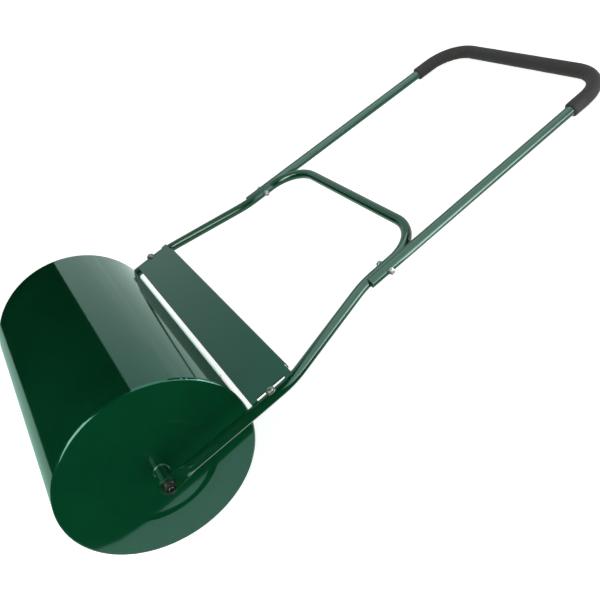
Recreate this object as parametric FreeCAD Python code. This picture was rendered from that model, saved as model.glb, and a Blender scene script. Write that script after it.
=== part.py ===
import FreeCAD, Part
import math
import os
from FreeCAD import Vector, Placement, Rotation

# Garden lawn roller: a closed steel drum that is filled with water or sand, turning on a fixed
# axle rod between the legs of a bent tube frame, with a scraper plate across the legs and a
# U-shaped push handle with a foam grip bolted to the frame.
#
# Every shape is drawn in roller coordinates: X runs along the axle, Y runs from the axle to the
# grip in the plane of the frame, and Z is square to that plane.  place() then lays the roller
# down as it is parked: the drum and the foam grip both rest on the ground.

# ---- driving dimensions, millimetres ----
AIR = 0.1        # clearance between fixed pieces
RUN = 0.08       # radial clearance of the running fit on the axle rod
APART = 0.3      # gap between pieces that move past each other

DRUM_R = 160.0
DRUM_WIDTH = 500.0
SHEET = 1.2
END_SHEET = 1.5
RIM_R = 4.0
DISH_R = 88.0            # the middle of each end is pressed in, inside this radius
DISH_HALF_WIDTH = 6.0
DISH_DEPTH = 1.2

TUBE_R = 9.5
TUBE_WALL = 1.2
LEG_X = 284.0
KINK1_Y = 238.0
KINK2_X = 222.5
KINK2_Y = 432.0
BRACE_Y = 569.0
LEG_TAPER = 0.030
KINK_BEND_R = 150.0
BRACE_BEND_R = 75.0

HANDLE_X = 228.8
HANDLE_END_Y = 440.0
HANDLE_BOLT_Y = 479.0
HANDLE_TAPER = 0.028
HANDLE_LEAN = 0.53       # degrees that the handle leans down from the plane of the frame
HANDLE_BEND_R = 70.0
GRIP_Y = 1032.0
GRIP_R = 14.0
GRIP_START_Y = 926.0

FLAT_THICKNESS = 3.0
FLAT_HALF_HEIGHT = 16.0
FLAT_Y = 18.0
ROUND_Y = 44.0
FLAT_STEPS = 6

AXLE_R = 6.0
AXLE_STUB_R = 5.0
AXLE_TUBE_R = 11.0
AXLE_TUBE_BORE_R = 9.0
AXLE_TUBE_HALF = 279.0
BUSH_LENGTH = 25.0
BUSH_FLANGE_R = 12.5
BUSH_FLANGE = 2.0
AXLE_END_X = 297.0

PLATE = 2.0
PLATE_FRONT_Y = 166.5
PLATE_REAR_Y = 248.4
PLATE_HALF = 276.5
PLATE_CORNER_R = 2.0
FRONT_EAR = (282.0, 166.5, 178.0)
TONGUE = (291.5, 194.5, 209.5)
REAR_EAR = (286.0, 232.0, 248.4)
FLANGE_HALF = 256.0
FLANGE_DROP = 13.0
FLANGE_BEND_R = 3.5
SCRAPER_SCREW_Y = 202.0

FILLER_R = 118.0
FILLER_ANGLE = 135.0
NECK_R = 22.0
NECK_BORE_R = 18.0
NECK_WALL_R = 21.0
NECK_DEPTH = 9.0
NECK_STAND = 2.5
SEAL = 2.0
PLUG_R = 23.5
PLUG_FLANGE = 5.0
PLUG_REACH = 10.0
PLUG_WALL = 3.5
PLUG_BAR_WIDTH = 7.0
PLUG_BAR_HEIGHT = 4.0
PLUG_EDGE_R = 1.8

# Fasteners: M6 for the handle and scraper, M10 for the axle.
M6 = 6.0
M6_HOLE_R = 3.2
M6_FLATS = 10.0
M6_HEAD = 4.0
M6_NUT = 5.0
M6_WASHER_R = 6.0
M6_TAIL = 7.5            # how far a handle bolt reaches past the washer under its nut
HANDLE_WASHER = 1.6
PAN_HEAD_R = 5.6
PAN_HEAD = 3.6
PAN_HEAD_ROUND = 1.8
SCREW_LENGTH = 14.0
SCRAPER_WASHER = 1.2
SCRAPER_WASHER_R = 8.0
INSERT_R = 4.5           # threaded insert in the top of each leg, under the scraper screw
INSERT_FLANGE_R = 6.0
INSERT_BULGE_R = 5.4
INSERT_END_Z = -3.0
INSERT_BULGE_Z = (3.0, 6.0)
M10_FLATS = 16.0
M10_NUT = 6.5
STUB_AIR = 0.3
OUTER_WASHER = 1.8
OUTER_WASHER_R = 10.5
LOCK_WASHER = 2.2
LOCK_WASHER_R = 8.8
LOCK_GAP = 1.6
END_CHAMFER = 1.0

# ---- worked out from the driving dimensions ----
lean = math.radians(HANDLE_LEAN)
grip_y = HANDLE_BOLT_Y + (GRIP_Y - HANDLE_BOLT_Y) * math.cos(lean)
grip_z = -(GRIP_Y - HANDLE_BOLT_Y) * math.sin(lean)
TILT = math.atan2(grip_z, grip_y) + math.asin((DRUM_R - GRIP_R) / math.hypot(grip_y, grip_z))
REACH = grip_y * math.cos(TILT) + grip_z * math.sin(TILT) + GRIP_R
AXLE_Y = (DRUM_R - REACH) / 2.0
DRUM_END = DRUM_WIDTH / 2.0
SEAM_X = DRUM_END - RIM_R
LEG_INNER = LEG_X - FLAT_THICKNESS / 2.0
LEG_OUTER = LEG_X + FLAT_THICKNESS / 2.0
BUSH_END = AXLE_TUBE_HALF + BUSH_FLANGE
FILLER_Y = FILLER_R * math.cos(math.radians(FILLER_ANGLE))
FILLER_Z = FILLER_R * math.sin(math.radians(FILLER_ANGLE))
PLATE_UNDER = TUBE_R + AIR
PLATE_TOP = PLATE_UNDER + PLATE

X_AXIS = Vector(1, 0, 0)
UP = Vector(0, 0, 1)
SIDES = (1, -1)
os.makedirs("parts", exist_ok=True)


# ---- helpers ----
def place(shape):
    """Lay a shape drawn in roller coordinates down in the parked position."""
    moved = shape.copy()
    turn = Rotation(X_AXIS, -math.degrees(TILT))
    moved.Placement = Placement(Vector(0, AXLE_Y, DRUM_R), turn).multiply(moved.Placement)
    return moved


def lean_handle(shape):
    """Turn a shape drawn in the plane of the frame down about the handle bolts."""
    return shape.rotate(Vector(0, HANDLE_BOLT_Y, 0), X_AXIS, -HANDLE_LEAN)


def save(name, *solids):
    """Write one node; several solids stay separate in it."""
    placed = [place(solid) for solid in solids]
    shape = placed[0] if len(placed) == 1 else Part.makeCompound(placed)
    shape.exportStep("parts/" + name + ".step")


def cylinder(radius, x_start, x_end, y=0.0, z=0.0):
    """A cylinder along X between two x values."""
    low, high = min(x_start, x_end), max(x_start, x_end)
    return Part.makeCylinder(radius, high - low, Vector(low, y, z), X_AXIS)


def ring(outer, inner, x_start, x_end, y=0.0, z=0.0):
    """A washer or sleeve along X."""
    return cylinder(outer, x_start, x_end, y, z).cut(cylinder(inner, x_start, x_end, y, z))


def mirror(shape):
    """The same piece on the other side of the roller."""
    return shape.mirror(Vector(0, 0, 0), X_AXIS)


def both_sides(piece):
    """A piece on the right and its mirror image on the left."""
    return [piece, mirror(piece)]


def flat_edges_at(shape, x):
    """The edges that lie in one plane square to X."""
    return [edge for edge in shape.Edges
            if edge.BoundBox.XLength < 0.01 and abs(edge.BoundBox.XMin - x) < 0.01]


def line(start, end):
    return Part.LineSegment(start, end).toShape()


def rounded_path(points, radii):
    """Straight runs through the points, joined by tangent arcs of the given radii."""
    edges = []
    start = points[0]
    for before, corner, after, radius in zip(points, points[1:], points[2:], radii):
        into = (corner - before).normalize()
        out = (after - corner).normalize()
        turn = into.getAngle(out)
        setback = radius * math.tan(turn / 2.0)
        arc_start = corner - into * setback
        arc_end = corner + out * setback
        inward = (out - into).normalize()
        depth = radius * (1.0 / math.cos(turn / 2.0) - 1.0)
        edges.append(line(start, arc_start))
        edges.append(Part.Arc(arc_start, corner + inward * depth, arc_end).toShape())
        start = arc_end
    edges.append(line(start, points[-1]))
    return Part.Wire(edges)


def pipe(path, radius):
    """A round bar along a path."""
    first = path.Edges[0]
    start = first.valueAt(first.FirstParameter)
    along = first.tangentAt(first.FirstParameter)
    profile = Part.Wire(Part.makeCircle(radius, start, along))
    return path.makePipeShell([profile], True, False)


def hex_block(across_flats, height):
    """A hexagon standing on z = 0 with its upper corners turned off."""
    corner_r = across_flats / math.sqrt(3.0)
    corners = [Vector(corner_r * math.cos(math.radians(60 * i)),
                      corner_r * math.sin(math.radians(60 * i)), 0) for i in range(7)]
    block = Part.Face(Part.makePolygon(corners)).extrude(Vector(0, 0, height))
    slope = math.tan(math.radians(30))
    top_r = 0.48 * across_flats
    cone_height = height + top_r * slope
    return block.common(Part.makeCone(cone_height / slope, 0, cone_height))


def bolt(diameter, length, across_flats, head):
    """A hexagon bolt: the head stands on z = 0 and the shank hangs below it."""
    shank = Part.makeCylinder(diameter / 2.0, length, Vector(0, 0, -length))
    return hex_block(across_flats, head).fuse(shank).removeSplitter()


def nut(diameter, across_flats, height):
    """A hexagon nut standing on z = 0."""
    return hex_block(across_flats, height).cut(Part.makeCylinder(diameter / 2.0 + AIR, height))


def washer(inner, outer, thickness):
    """A flat washer standing on z = 0."""
    return Part.makeCylinder(outer, thickness).cut(Part.makeCylinder(inner, thickness))


def stand(shape, position, up):
    """Move a piece drawn on z = 0 to a position, with its z axis turned to up."""
    moved = shape.copy()
    moved.Placement = Placement(position, Rotation(UP, up))
    return moved


# ---- drum ----
def end_profile_edges(face_x, rim_r):
    """One face of a drum end, from its hub hole out to the rim, as a list of edges."""
    dish_x = face_x - DISH_DEPTH
    middle = Vector(face_x - DISH_DEPTH / 2.0, DISH_R, 0)
    curve_r = (DISH_HALF_WIDTH ** 2 + (DISH_DEPTH / 2.0) ** 2) / DISH_DEPTH
    sweep = math.asin(DISH_HALF_WIDTH / curve_r) / 2.0
    inner_y = DISH_R - DISH_HALF_WIDTH
    outer_y = DISH_R + DISH_HALF_WIDTH
    rise = curve_r * (1.0 - math.cos(sweep))
    run = curve_r * math.sin(sweep)
    flat_end = DRUM_R - RIM_R
    rim_centre = Vector(SEAM_X, flat_end, 0)
    rim_middle = rim_centre + Vector(math.sqrt(0.5), math.sqrt(0.5), 0) * rim_r
    return [line(Vector(dish_x, AXLE_TUBE_R, 0), Vector(dish_x, inner_y, 0)),
            Part.Arc(Vector(dish_x, inner_y, 0), Vector(dish_x + rise, inner_y + run, 0),
                     middle).toShape(),
            Part.Arc(middle, Vector(face_x - rise, outer_y - run, 0),
                     Vector(face_x, outer_y, 0)).toShape(),
            line(Vector(face_x, outer_y, 0), Vector(face_x, flat_end, 0)),
            Part.Arc(Vector(face_x, flat_end, 0), rim_middle,
                     rim_centre + Vector(0, rim_r, 0)).toShape()]


def drum_end():
    """The right-hand pressed end: a disc with a dished middle and a rounded rim."""
    outer = end_profile_edges(DRUM_END, RIM_R)
    inner = end_profile_edges(DRUM_END - END_SHEET, RIM_R - END_SHEET)
    hub_x = DRUM_END - DISH_DEPTH
    hub = line(Vector(hub_x, AXLE_TUBE_R, 0), Vector(hub_x - END_SHEET, AXLE_TUBE_R, 0))
    seam = line(Vector(SEAM_X, DRUM_R, 0), Vector(SEAM_X, DRUM_R - END_SHEET, 0))
    outline = Part.Wire(Part.__sortEdges__(outer + inner + [hub, seam]))
    return Part.Face(outline).revolve(Vector(0, 0, 0), X_AXIS, 360)


def bush():
    """The flanged nylon bush in the right-hand end of the axle tube."""
    body = cylinder(AXLE_TUBE_BORE_R, AXLE_TUBE_HALF - BUSH_LENGTH, AXLE_TUBE_HALF)
    flange = cylinder(BUSH_FLANGE_R, AXLE_TUBE_HALF, BUSH_END)
    bore = cylinder(AXLE_R + RUN, 0, AXLE_END_X)
    return body.fuse(flange).removeSplitter().cut(bore)


def filler_neck():
    """The welded neck of the filler hole, with a flange for the seal."""
    neck = ring(NECK_WALL_R, NECK_BORE_R, -DRUM_END, -DRUM_END + NECK_DEPTH, FILLER_Y, FILLER_Z)
    flange = ring(NECK_R, NECK_BORE_R, -DRUM_END - NECK_STAND, -DRUM_END, FILLER_Y, FILLER_Z)
    return neck.fuse(flange).removeSplitter()


def filler_plug(flange_inner):
    """The screw-in plug: a hollow stub under a flange with a raised finger bar."""
    flange_outer = flange_inner - PLUG_FLANGE
    stub_end = -DRUM_END + PLUG_REACH
    stub = cylinder(NECK_BORE_R - APART, flange_inner, stub_end, FILLER_Y, FILLER_Z)
    hollow = cylinder(NECK_BORE_R - PLUG_WALL, flange_inner - PLUG_FLANGE / 2.0, stub_end,
                      FILLER_Y, FILLER_Z)
    flange = cylinder(PLUG_R, flange_outer, flange_inner, FILLER_Y, FILLER_Z)
    flange = flange.makeChamfer(END_CHAMFER, flat_edges_at(flange, flange_outer))
    bar_top = flange_outer - PLUG_BAR_HEIGHT
    bar = Part.makeBox(PLUG_FLANGE, 2 * NECK_BORE_R, PLUG_BAR_WIDTH,
                       Vector(bar_top, FILLER_Y - NECK_BORE_R, FILLER_Z - PLUG_BAR_WIDTH / 2.0))
    lengthwise = [edge for edge in bar.Edges if edge.BoundBox.XLength > PLUG_BAR_HEIGHT]
    bar = bar.makeFillet(PLUG_EDGE_R, flat_edges_at(bar, bar_top) + lengthwise)
    return flange.fuse(bar).fuse(stub).cut(hollow).removeSplitter()


right_end = drum_end()
filler_hole = cylinder(NECK_WALL_R, -DRUM_END - END_SHEET, -DRUM_END + 2 * END_SHEET,
                       FILLER_Y, FILLER_Z)
seal_face = -DRUM_END - NECK_STAND - APART
plug_face = seal_face - SEAL
seal = ring(NECK_R, NECK_BORE_R - APART, plug_face, seal_face, FILLER_Y, FILLER_Z)

save("drum_shell", ring(DRUM_R, DRUM_R - SHEET, -SEAM_X, SEAM_X))
save("drum_end_right", right_end)
save("drum_end_left", mirror(right_end).cut(filler_hole))
save("axle_tube", ring(AXLE_TUBE_R, AXLE_TUBE_BORE_R, -AXLE_TUBE_HALF, AXLE_TUBE_HALF))
save("bush_right", bush())
save("bush_left", mirror(bush()))
save("filler_neck", filler_neck())
save("filler_plug", filler_plug(plug_face))
save("plug_seal", seal)


# ---- axle ----
def axle_rod():
    """A plain rod through the drum, turned down to threaded stubs outside the legs."""
    rod = cylinder(AXLE_R, -LEG_INNER + AIR, LEG_INNER - AIR)
    stubs = cylinder(AXLE_STUB_R, -AXLE_END_X, AXLE_END_X)
    ends = flat_edges_at(stubs, AXLE_END_X) + flat_edges_at(stubs, -AXLE_END_X)
    return rod.fuse(stubs.makeChamfer(END_CHAMFER, ends)).removeSplitter()


outer_washer_x = LEG_OUTER + OUTER_WASHER
lock_washer_x = outer_washer_x + LOCK_WASHER
thrust = ring(BUSH_FLANGE_R, AXLE_R + AIR, BUSH_END + APART, LEG_INNER - AIR)
stub_hole_r = AXLE_STUB_R + STUB_AIR
outer_washer = stand(washer(stub_hole_r, OUTER_WASHER_R, OUTER_WASHER),
                     Vector(LEG_OUTER, 0, 0), X_AXIS)
lock_washer = stand(washer(stub_hole_r, LOCK_WASHER_R, LOCK_WASHER),
                    Vector(outer_washer_x, 0, 0), X_AXIS)
lock_gap = Part.makeBox(LOCK_WASHER, LOCK_WASHER_R, LOCK_GAP,
                        Vector(outer_washer_x, 0, -LOCK_GAP / 2.0))
axle_nut = stand(nut(2 * AXLE_STUB_R, M10_FLATS, M10_NUT), Vector(lock_washer_x, 0, 0), X_AXIS)

save("axle_rod", axle_rod())
save("thrust_washers", *both_sides(thrust))
save("axle_washers", *both_sides(outer_washer))
save("axle_lock_washers", *both_sides(lock_washer.cut(lock_gap)))
save("axle_nuts", *both_sides(axle_nut))


# ---- lower frame ----
def flat_section(blend, y):
    """A section of the leg end: a circle at blend 0, pressed flat at blend 1."""
    def between(start, end):
        return start + (end - start) * blend
    corner_x = between(TUBE_R * math.sqrt(0.5), FLAT_THICKNESS / 2.0 - 0.02)
    corner_z = between(TUBE_R * math.sqrt(0.5), FLAT_HALF_HEIGHT - FLAT_THICKNESS / 2.0)
    side_x = between(TUBE_R, FLAT_THICKNESS / 2.0)
    top_z = between(TUBE_R, FLAT_HALF_HEIGHT)

    def point(x, z):
        return Vector(LEG_X + x, y, z)
    arcs = [Part.Arc(point(-corner_x, corner_z), point(0, top_z), point(corner_x, corner_z)),
            Part.Arc(point(corner_x, corner_z), point(side_x, 0), point(corner_x, -corner_z)),
            Part.Arc(point(corner_x, -corner_z), point(0, -top_z), point(-corner_x, -corner_z)),
            Part.Arc(point(-corner_x, -corner_z), point(-side_x, 0), point(-corner_x, corner_z))]
    return Part.Wire([arc.toShape() for arc in arcs])


def flattened_end():
    """The pressed-flat eye that the axle stub goes through, and its run-out to the tube."""
    sections = []
    for step in range(FLAT_STEPS + 1):
        share = step / FLAT_STEPS
        blend = 1.0 - share * share * (3.0 - 2.0 * share)
        sections.append(flat_section(blend, FLAT_Y + (ROUND_Y - FLAT_Y) * share))
    run_out = Part.makeLoft(sections, True, False)
    eye = cylinder(FLAT_HALF_HEIGHT, LEG_INNER, LEG_OUTER)
    tang = Part.makeBox(FLAT_THICKNESS, FLAT_Y, 2 * FLAT_HALF_HEIGHT,
                        Vector(LEG_INNER, 0, -FLAT_HALF_HEIGHT))
    flat = eye.fuse(tang).removeSplitter()
    return flat.fuse(run_out).cut(cylinder(stub_hole_r, LEG_INNER, LEG_OUTER))


def arch_points(y_start):
    """Corners of the lower frame's centreline from the right leg round to the left leg."""
    brace_x = KINK2_X - LEG_TAPER * (BRACE_Y - KINK2_Y)
    right = [Vector(LEG_X, y_start, 0), Vector(LEG_X, KINK1_Y, 0),
             Vector(KINK2_X, KINK2_Y, 0), Vector(brace_x, BRACE_Y, 0)]
    left = [Vector(-corner.x, corner.y, 0) for corner in reversed(right)]
    return right + left


def upright_hole(radius, x, y, z_low=-2 * TUBE_R):
    """A cutter square to the frame plane."""
    return Part.makeCylinder(radius, 2 * TUBE_R - z_low, Vector(x, y, z_low))


arch_radii = [KINK_BEND_R, KINK_BEND_R, BRACE_BEND_R, BRACE_BEND_R, KINK_BEND_R, KINK_BEND_R]
arch_path = rounded_path(arch_points(ROUND_Y), arch_radii)
handle_bolt_hole = cylinder(M6_HOLE_R, -LEG_X, LEG_X, HANDLE_BOLT_Y)
lower_frame = pipe(arch_path, TUBE_R).cut(pipe(arch_path, TUBE_R - TUBE_WALL))
lower_frame = lower_frame.fuse(flattened_end()).fuse(mirror(flattened_end()))
lower_frame = lower_frame.cut(handle_bolt_hole)
for side in SIDES:
    lower_frame = lower_frame.cut(upright_hole(INSERT_R + AIR, side * LEG_X, SCRAPER_SCREW_Y, 0.0))
save("lower_frame", lower_frame)


# ---- push handle ----
def handle_path(y_start):
    """The handle's centreline from the right leg round to the left leg."""
    def leg_x(y):
        return HANDLE_X - HANDLE_TAPER * (y - HANDLE_BOLT_Y)
    right = [Vector(leg_x(y_start), y_start, 0), Vector(leg_x(GRIP_Y), GRIP_Y, 0)]
    left = [Vector(-corner.x, corner.y, 0) for corner in reversed(right)]
    return rounded_path(right + left, [HANDLE_BEND_R, HANDLE_BEND_R])


# The handle's ends are pressed in where they lie against the lower frame, so each is dished
# round the frame's tube and can't swing on its one bolt.
tube_path = handle_path(HANDLE_END_Y)
grip_path = handle_path(GRIP_START_Y)
handle_bar = lean_handle(pipe(tube_path, TUBE_R))
handle_bore = lean_handle(pipe(tube_path, TUBE_R - TUBE_WALL))
nest = pipe(arch_path, TUBE_R + AIR)
dented_bore = handle_bore.cut(pipe(arch_path, TUBE_R + AIR + TUBE_WALL))
handle_grip = pipe(grip_path, GRIP_R).cut(pipe(grip_path, TUBE_R + AIR / 2.0))
save("handle_tube", handle_bar.cut(nest).cut(dented_bore).cut(handle_bolt_hole))
save("handle_grip", lean_handle(handle_grip))

frame_bolt_x = KINK2_X - LEG_TAPER * (HANDLE_BOLT_Y - KINK2_Y)
head_x = HANDLE_X + TUBE_R + 2 * AIR
nut_x = frame_bolt_x - TUBE_R - 2 * AIR
handle_washer = washer(M6_HOLE_R, M6_WASHER_R, HANDLE_WASHER)
head_washer = stand(handle_washer, Vector(head_x, HANDLE_BOLT_Y, 0), X_AXIS)
nut_washer = stand(handle_washer, Vector(nut_x, HANDLE_BOLT_Y, 0), -X_AXIS)
handle_bolt = stand(bolt(M6, head_x - nut_x + 2 * HANDLE_WASHER + M6_TAIL, M6_FLATS, M6_HEAD),
                    Vector(head_x + HANDLE_WASHER, HANDLE_BOLT_Y, 0), X_AXIS)
handle_nut = stand(nut(M6, M6_FLATS, M6_NUT), Vector(nut_x - HANDLE_WASHER, HANDLE_BOLT_Y, 0),
                   -X_AXIS)
save("handle_bolts", *both_sides(handle_bolt))
save("handle_washers", *(both_sides(head_washer) + both_sides(nut_washer)))
save("handle_nuts", *both_sides(handle_nut))


# ---- scraper ----
def sheet_strip(half, y_front, y_rear):
    """A strip of the scraper plate, across the roller."""
    return Part.makeBox(2 * half, y_rear - y_front, PLATE, Vector(-half, y_front, PLATE_UNDER))


def scraper_plate():
    """A flat plate with three tongues at each end and a stiffening flange along its rear."""
    bend_y = PLATE_REAR_Y - FLANGE_BEND_R
    bend_z = PLATE_TOP - FLANGE_BEND_R
    plate = sheet_strip(PLATE_HALF, PLATE_FRONT_Y, bend_y)
    for half, y_front, y_rear in (FRONT_EAR, TONGUE, REAR_EAR):
        plate = plate.fuse(sheet_strip(half, y_front, min(y_rear, bend_y)))
    plate = plate.removeSplitter()
    corners = [edge for edge in plate.Edges
               if edge.BoundBox.ZLength > PLATE / 2.0 and abs(edge.BoundBox.XMin) > PLATE_HALF]
    plate = plate.makeFillet(PLATE_CORNER_R, corners)
    bend = ring(FLANGE_BEND_R, FLANGE_BEND_R - PLATE, -FLANGE_HALF, FLANGE_HALF, bend_y, bend_z)
    quarter = Part.makeBox(2 * FLANGE_HALF, FLANGE_BEND_R, FLANGE_BEND_R,
                           Vector(-FLANGE_HALF, bend_y, bend_z))
    flange = Part.makeBox(2 * FLANGE_HALF, PLATE, FLANGE_DROP - FLANGE_BEND_R,
                          Vector(-FLANGE_HALF, PLATE_REAR_Y - PLATE, PLATE_TOP - FLANGE_DROP))
    plate = plate.fuse(bend.common(quarter)).fuse(flange).removeSplitter()
    for side in SIDES:
        plate = plate.cut(upright_hole(INSERT_FLANGE_R + AIR, side * LEG_X, SCRAPER_SCREW_Y))
    return plate


def pan_screw():
    """A pan-head screw: the head stands on z = 0 and the shank hangs below it."""
    head = Part.makeCylinder(PAN_HEAD_R, PAN_HEAD)
    top = [edge for edge in head.Edges if edge.BoundBox.ZMin > PAN_HEAD - 0.01]
    shank = Part.makeCylinder(M6 / 2.0, SCREW_LENGTH, Vector(0, 0, -SCREW_LENGTH))
    return head.makeFillet(PAN_HEAD_ROUND, top).fuse(shank).removeSplitter()


def threaded_insert():
    """A blind insert crimped in the top wall of a leg; its flange fills the plate's hole."""
    bulge_low, bulge_high = INSERT_BULGE_Z
    body = Part.makeCylinder(INSERT_R, PLATE_UNDER - INSERT_END_Z, Vector(0, 0, INSERT_END_Z))
    bulge = Part.makeCylinder(INSERT_BULGE_R, bulge_high - bulge_low, Vector(0, 0, bulge_low))
    flange = Part.makeCylinder(INSERT_FLANGE_R, PLATE - AIR, Vector(0, 0, PLATE_UNDER))
    bore = Part.makeCylinder(M6 / 2.0 + AIR, PLATE_TOP - INSERT_END_Z, Vector(0, 0, INSERT_END_Z))
    return body.fuse(bulge).fuse(flange).cut(bore).removeSplitter()


def at_leg(piece, z):
    """A fastener standing on the right-hand leg at height z."""
    return stand(piece, Vector(LEG_X, SCRAPER_SCREW_Y, z), UP)


scraper_washer = at_leg(washer(M6_HOLE_R, SCRAPER_WASHER_R, SCRAPER_WASHER), PLATE_TOP)
save("scraper_plate", scraper_plate())
save("scraper_screws", *both_sides(at_leg(pan_screw(), PLATE_TOP + SCRAPER_WASHER)))
save("scraper_washers", *both_sides(scraper_washer))
save("scraper_inserts", *both_sides(at_leg(threaded_insert(), 0.0)))
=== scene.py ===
import math
import random

import bmesh
import bpy
from mathutils import Matrix, Vector, noise


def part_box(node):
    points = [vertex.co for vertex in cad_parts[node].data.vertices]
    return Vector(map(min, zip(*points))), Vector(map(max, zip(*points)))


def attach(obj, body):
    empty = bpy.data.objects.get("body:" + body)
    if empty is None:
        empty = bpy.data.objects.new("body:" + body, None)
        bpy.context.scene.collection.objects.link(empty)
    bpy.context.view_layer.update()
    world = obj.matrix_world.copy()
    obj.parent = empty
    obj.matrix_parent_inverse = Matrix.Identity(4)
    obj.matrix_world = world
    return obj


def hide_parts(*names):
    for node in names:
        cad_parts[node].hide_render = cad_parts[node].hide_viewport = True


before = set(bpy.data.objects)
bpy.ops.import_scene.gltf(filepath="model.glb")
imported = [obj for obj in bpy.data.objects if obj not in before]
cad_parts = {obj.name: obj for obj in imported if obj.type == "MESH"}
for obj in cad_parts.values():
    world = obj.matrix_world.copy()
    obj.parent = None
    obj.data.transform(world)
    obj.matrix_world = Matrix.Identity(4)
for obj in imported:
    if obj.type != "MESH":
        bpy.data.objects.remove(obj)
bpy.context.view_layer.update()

# ---- places and sizes, in metres, worked out from the frame ----
MM = 0.001
drum_low, drum_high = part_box("drum_shell")
axle_low, axle_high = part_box("axle_rod")
grip_low, grip_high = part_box("handle_grip")
DRUM_R = (drum_high.z - drum_low.z) / 2
AXLE = (axle_low + axle_high) / 2
TUBE_R = 9.5 * MM
GRIP_R = 14.0 * MM
GRIP_Y = 1032.0 * MM
GRIP_START_Y = 926.0 * MM
HANDLE_X = 228.8 * MM
HANDLE_BOLT_Y = 479.0 * MM
HANDLE_TAPER = 0.028
HANDLE_BEND_R = 70.0 * MM
HANDLE_LEAN = math.radians(0.53)
# How far the frame slopes down from the axle to the grip, found from the grip's back edge.
grip_back = Vector((0, grip_high.y - GRIP_R, grip_low.z + GRIP_R))
from_bolt = (GRIP_Y - HANDLE_BOLT_Y) * math.sin(HANDLE_LEAN)
TILT = math.atan2(AXLE.z - grip_back.z, grip_back.y - AXLE.y) - math.atan2(from_bolt, GRIP_Y)
# Roller coordinates: x along the axle, y along the frame to the grip, z square to the frame.
ROLLER = Matrix.Translation(AXLE) @ Matrix.Rotation(-TILT, 4, "X")
# The push handle leans down a little about its bolts.
AT_BOLTS = Matrix.Translation((0, HANDLE_BOLT_Y, 0))
HANDLE = ROLLER @ AT_BOLTS @ Matrix.Rotation(-HANDLE_LEAN, 4, "X") @ AT_BOLTS.inverted()

AIR = 0.1 * MM
DRUM_END = 250.0 * MM
RIM_R = 4.0 * MM
DISH_DEPTH = 1.2 * MM
AXLE_TUBE_R = 11.0 * MM
AXLE_TUBE_END = 279.0 * MM
LEG_X = 284.0 * MM
LEG_INNER = 282.5 * MM
LEG_OUTER = 285.5 * MM
SCRAPER_TOP = 11.6 * MM
SCRAPER_SCREW_Y = 202.0 * MM
# The frame's arms come together a little on their way to the handle's bolts.
ARM_X = 222.5 * MM
ARM_START_Y = 432.0 * MM
ARM_TAPER = 0.030
FRAME_BOLT_X = ARM_X - ARM_TAPER * (HANDLE_BOLT_Y - ARM_START_Y)
FILLER_R = 118.0 * MM
FILLER_ANGLE = math.radians(135)
FILLER = Vector((0, FILLER_R * math.cos(FILLER_ANGLE), FILLER_R * math.sin(FILLER_ANGLE)))
NECK_R = 22.0 * MM
PLUG_FACE = -254.8 * MM
RIGHT = Vector((1, 0, 0))
UP = Vector((0, 0, 1))


# ---- material helpers ----
def new_material(name):
    """An empty node material with a Principled shader."""
    material = bpy.data.materials.new(name)
    material.use_nodes = True
    nodes = material.node_tree.nodes
    nodes.clear()
    shader = nodes.new("ShaderNodeBsdfPrincipled")
    output = nodes.new("ShaderNodeOutputMaterial")
    material.node_tree.links.new(shader.outputs["BSDF"], output.inputs["Surface"])
    return material, shader


def add(material, kind, inputs=None, **settings):
    """Add a node; an input may be a value or another node's output socket."""
    node = material.node_tree.nodes.new(kind)
    for key, value in settings.items():
        setattr(node, key, value)
    for key, value in (inputs or {}).items():
        if isinstance(value, bpy.types.NodeSocket):
            material.node_tree.links.new(value, node.inputs[key])
        else:
            node.inputs[key].default_value = value
    return node


def link(material, output, shader, socket):
    """Feed a node's output into a socket of the shader."""
    material.node_tree.links.new(output, shader.inputs[socket])


def noise_at(material, scale, detail=2.0, roughness=0.5, stretch=(1, 1, 1)):
    """Noise in the piece's own coordinates; scale is in features per metre."""
    place = add(material, "ShaderNodeTexCoord").outputs["Object"]
    mapping = add(material, "ShaderNodeMapping", {"Vector": place, "Scale": stretch})
    return add(material, "ShaderNodeTexNoise", {"Vector": mapping.outputs["Vector"], "Scale": scale,
                                                "Detail": detail, "Roughness": roughness})


def colours_between(material, factor, stops):
    """A colour ramp through (position, colour) stops."""
    ramp = add(material, "ShaderNodeValToRGB", {"Fac": factor})
    elements = ramp.color_ramp.elements
    elements[0].position, elements[0].color = stops[0][0], (*stops[0][1], 1)
    elements[1].position, elements[1].color = stops[-1][0], (*stops[-1][1], 1)
    for position, colour in stops[1:-1]:
        elements.new(position).color = (*colour, 1)
    return ramp.outputs["Color"]


def value_between(material, factor, low, high):
    """Spread a 0..1 factor over a range of plain values."""
    spread = add(material, "ShaderNodeMapRange", {"Value": factor, "From Min": 0.3, "From Max": 0.7,
                                                  "To Min": low, "To Max": high})
    return spread.outputs["Result"]


def bump(material, height, distance, strength=1.0, under=None):
    """A bump whose height is in metres."""
    inputs = {"Height": height, "Distance": distance, "Strength": strength}
    if under is not None:
        inputs["Normal"] = under
    return add(material, "ShaderNodeBump", inputs).outputs["Normal"]


# ---- materials ----
PAINT_LIGHT = (0.0020, 0.053, 0.0175)
PAINT_DARK = (0.0014, 0.041, 0.0150)
SHEET_GLOSS = (0.40, 1.0, 0.90)
TUBE_GLOSS = (0.66, 1.0, 0.90)


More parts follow.
